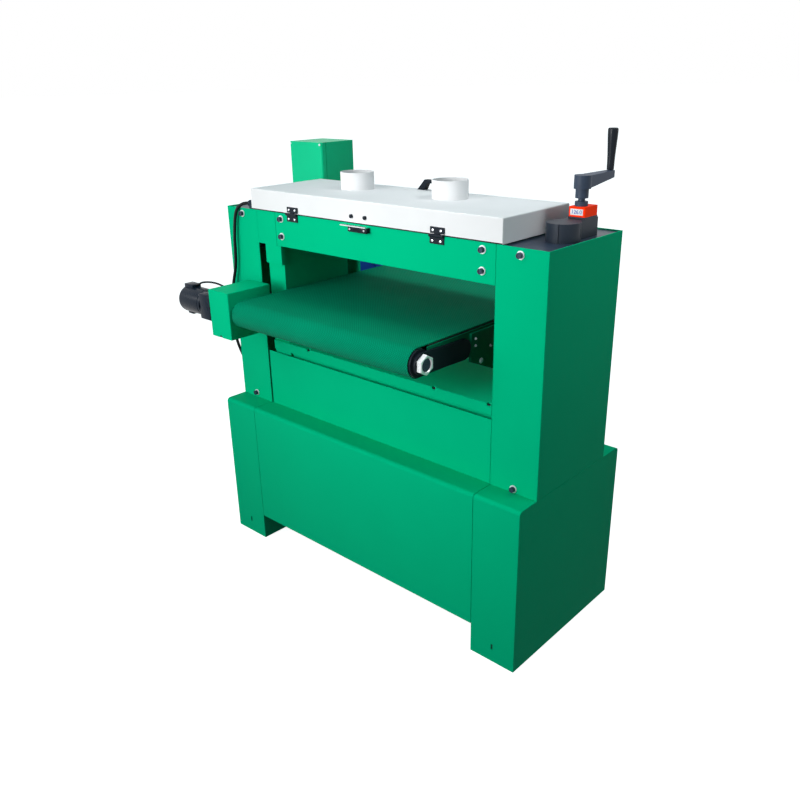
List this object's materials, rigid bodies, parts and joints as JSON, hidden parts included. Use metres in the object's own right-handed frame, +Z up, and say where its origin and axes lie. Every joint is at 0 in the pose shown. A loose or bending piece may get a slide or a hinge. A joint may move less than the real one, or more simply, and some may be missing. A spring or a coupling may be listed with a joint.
{
  "type": "wide belt sander",
  "caption": "Green floor-standing wide belt sander: rising conveyor table between two columns, abrasive head under a white hinged lid with dust collars, hand crank and control box.",
  "frame": {"origin": "on the floor, under the middle of the whole part's box", "axes": "+Z up, front (infeed side) towards -Y, the crank column at +X"},
  "size_m": [1.234, 0.7476, 1.3768],
  "materials": {
    "green_paint": "gloss",
    "white_paint": "gloss",
    "black_paint": "satin",
    "blue_paint": "gloss",
    "black_plastic": "satin",
    "orange_plastic": "satin",
    "red_plastic": "gloss",
    "green_plastic": "gloss",
    "steel": "satin",
    "zinc": "gloss",
    "table_iron": "matte",
    "belt_rubber": "matte",
    "black_rubber": "matte",
    "abrasive_cloth": "matte"
  },
  "bodies": {
    "frame": {"inner_frame": "black_paint", "left_leg": "green_paint", "right_leg": "green_paint", "front_panel": "green_paint", "rear_panel": "green_paint", "left_column": "green_paint", "right_column": "green_paint", "column_caps": "black_paint", "front_beam": "green_paint", "rear_beam": "green_paint", "left_upright": "green_paint", "apron": "green_paint", "deck": "green_paint", "bearing_plate": "black_paint", "head_bearings": "steel", "pressure_shoes": "steel", "abrasive_belt": "abrasive_cloth", "main_motor": "blue_paint", "belt_guard": "green_paint", "drive_belt": "black_rubber", "control_box": "green_paint", "control_cover": "green_paint", "gear_cover": "black_plastic", "indicator": "orange_plastic", "lift_belt": "black_rubber", "lower_chain": "steel", "screw_bearings": "steel", "hinge_leaves": "black_paint", "interlock": "black_plastic", "interlock_plate": "zinc", "washers": "zinc", "bolts": "black_paint", "cable": "black_rubber", "cable_glands": "black_plastic"},
    "table": {"bed": "table_iron", "side_rail": "green_paint", "drive_box": "green_paint", "feed_motor": "black_paint", "take_up": "black_paint", "take_up_nut": "zinc", "feed_belt": "belt_rubber", "left_lift": "steel", "right_lift": "green_paint", "rail_bolts": "zinc", "motor_lead": "black_rubber"},
    "drive_roll": {"drive_roller": "steel"},
    "tail_roll": {"tail_roller": "steel"},
    "screw_right": {"right_screw": "steel"},
    "screw_left": {"left_screw": "steel"},
    "crank_arm": {"crank": "black_paint"},
    "grip": {"crank_grip": "black_plastic"},
    "contact": {"contact_roller": "black_rubber"},
    "tension": {"tension_roller": "steel"},
    "rotor": {"motor_rotor": "steel"},
    "cover_lid": {"lid": "white_paint", "lid_trim": "black_paint"},
    "start": {"start_button": "green_plastic"},
    "stop": {"stop_button": "red_plastic"},
    "estop": {"estop_button": "red_plastic"},
    "speed": {"speed_knob": "black_plastic"}
  },
  "joints": [
    {"name": "crank_turn", "type": "hinge", "parent": "frame", "child": "crank_arm", "pos_m": [0.565, 0.04625, 1.2564], "axis": [0, 0, 1], "range_deg": [-3600, 21600]},
    {"name": "table_lift", "type": "slide", "parent": "frame", "child": "table", "axis": [0, 0, 1], "range_m": [-0.0202, 0.1202]},
    {"name": "right_screw_turn", "type": "hinge", "parent": "frame", "child": "screw_right", "pos_m": [0.561, -0.02275, 0.545], "axis": [0, 0, 1], "range_deg": [-1820, 10820]},
    {"name": "left_screw_turn", "type": "hinge", "parent": "frame", "child": "screw_left", "pos_m": [-0.473, -0.05375, 0.545], "axis": [0, 0, 1], "range_deg": [-1820, 10820]},
    {"name": "grip_spin", "type": "hinge", "parent": "crank_arm", "child": "grip", "pos_m": [0.565, 0.17725, 1.3164], "axis": [0, 0, 1], "continuous": true},
    {"name": "drive_roller_spin", "type": "hinge", "parent": "table", "child": "drive_roll", "pos_m": [0.018, -0.33175, 0.8565], "axis": [1, 0, 0], "continuous": true},
    {"name": "tail_roller_spin", "type": "hinge", "parent": "table", "child": "tail_roll", "pos_m": [0.018, 0.33425, 0.8565], "axis": [1, 0, 0], "continuous": true},
    {"name": "contact_roller_spin", "type": "hinge", "parent": "frame", "child": "contact", "pos_m": [0.018, -0.08175, 1.072], "axis": [1, 0, 0], "continuous": true},
    {"name": "tension_roller_spin", "type": "hinge", "parent": "frame", "child": "tension", "pos_m": [0.018, 0.04825, 1.088], "axis": [1, 0, 0], "continuous": true},
    {"name": "motor_spin", "type": "hinge", "parent": "frame", "child": "rotor", "pos_m": [-0.479, 0.25625, 0.88], "axis": [1, 0, 0], "continuous": true},
    {"name": "lid_hinge", "type": "hinge", "parent": "frame", "child": "cover_lid", "pos_m": [0.014, -0.17325, 1.1325], "axis": [1, 0, 0], "range_deg": [0, 95]},
    {"name": "start_push", "type": "slide", "parent": "frame", "child": "start", "axis": [0, -1, 0], "range_m": [0, 0.004], "stiffness_N_per_m": 500},
    {"name": "stop_push", "type": "slide", "parent": "frame", "child": "stop", "axis": [0, -1, 0], "range_m": [0, 0.004], "stiffness_N_per_m": 500},
    {"name": "estop_push", "type": "slide", "parent": "frame", "child": "estop", "axis": [0, -1, 0], "range_m": [0, 0.005], "stiffness_N_per_m": 500},
    {"name": "speed_turn", "type": "hinge", "parent": "frame", "child": "speed", "pos_m": [-0.538, 0.28625, 1.175], "axis": [0, 1, 0], "range_deg": [-135, 135]}
  ],
  "couplings": [
    {"joint": "table_lift", "follows": "crank_turn", "m_per_rad": 0.00031831},
    {"joint": "right_screw_turn", "follows": "crank_turn", "ratio": 0.5},
    {"joint": "left_screw_turn", "follows": "crank_turn", "ratio": 0.5},
    {"joint": "tail_roller_spin", "follows": "drive_roller_spin", "ratio": 1},
    {"joint": "tension_roller_spin", "follows": "contact_roller_spin", "ratio": 1.3333},
    {"joint": "motor_spin", "follows": "contact_roller_spin", "ratio": 0.8}
  ]
}
